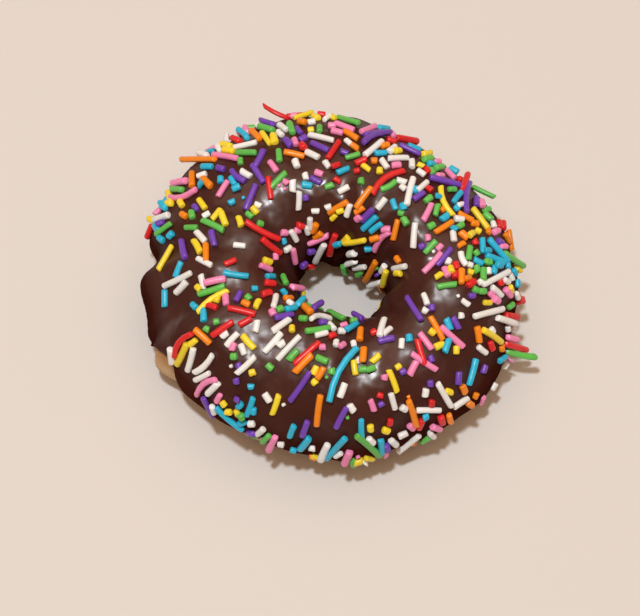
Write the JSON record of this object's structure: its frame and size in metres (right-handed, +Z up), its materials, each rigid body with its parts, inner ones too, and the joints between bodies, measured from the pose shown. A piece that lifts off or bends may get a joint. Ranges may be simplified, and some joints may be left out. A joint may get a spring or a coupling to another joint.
{
  "type": "sprinkle frosted doughnut",
  "caption": "Ring doughnut with a thick skin of dark chocolate icing over its top and into its hole, covered in rainbow rod sprinkles.",
  "frame": {"origin": "middle of the footprint, on the surface the doughnut lies on", "axes": "+X right along the longest extent, +Y away from the viewer, +Z up through the hole"},
  "size_m": [0.0926, 0.0865, 0.0327],
  "materials": {
    "fried_dough": "soft fried dough, golden tan, matte with fine wrinkles",
    "chocolate_icing": "set dark chocolate icing, smooth and glossy with soft lumps",
    "sprinkle_white": "white sugar sprinkle, waxy with a slight sheen",
    "sprinkle_red": "red sugar sprinkle, waxy with a slight sheen",
    "sprinkle_orange": "orange sugar sprinkle, waxy with a slight sheen",
    "sprinkle_yellow": "yellow sugar sprinkle, waxy with a slight sheen",
    "sprinkle_green": "green sugar sprinkle, waxy with a slight sheen",
    "sprinkle_blue": "blue sugar sprinkle, waxy with a slight sheen",
    "sprinkle_purple": "purple sugar sprinkle, waxy with a slight sheen",
    "sprinkle_pink": "pink sugar sprinkle, waxy with a slight sheen"
  },
  "bodies": {
    "root": {"dough": "fried_dough", "icing": "chocolate_icing"}
  },
  "joints": []
}
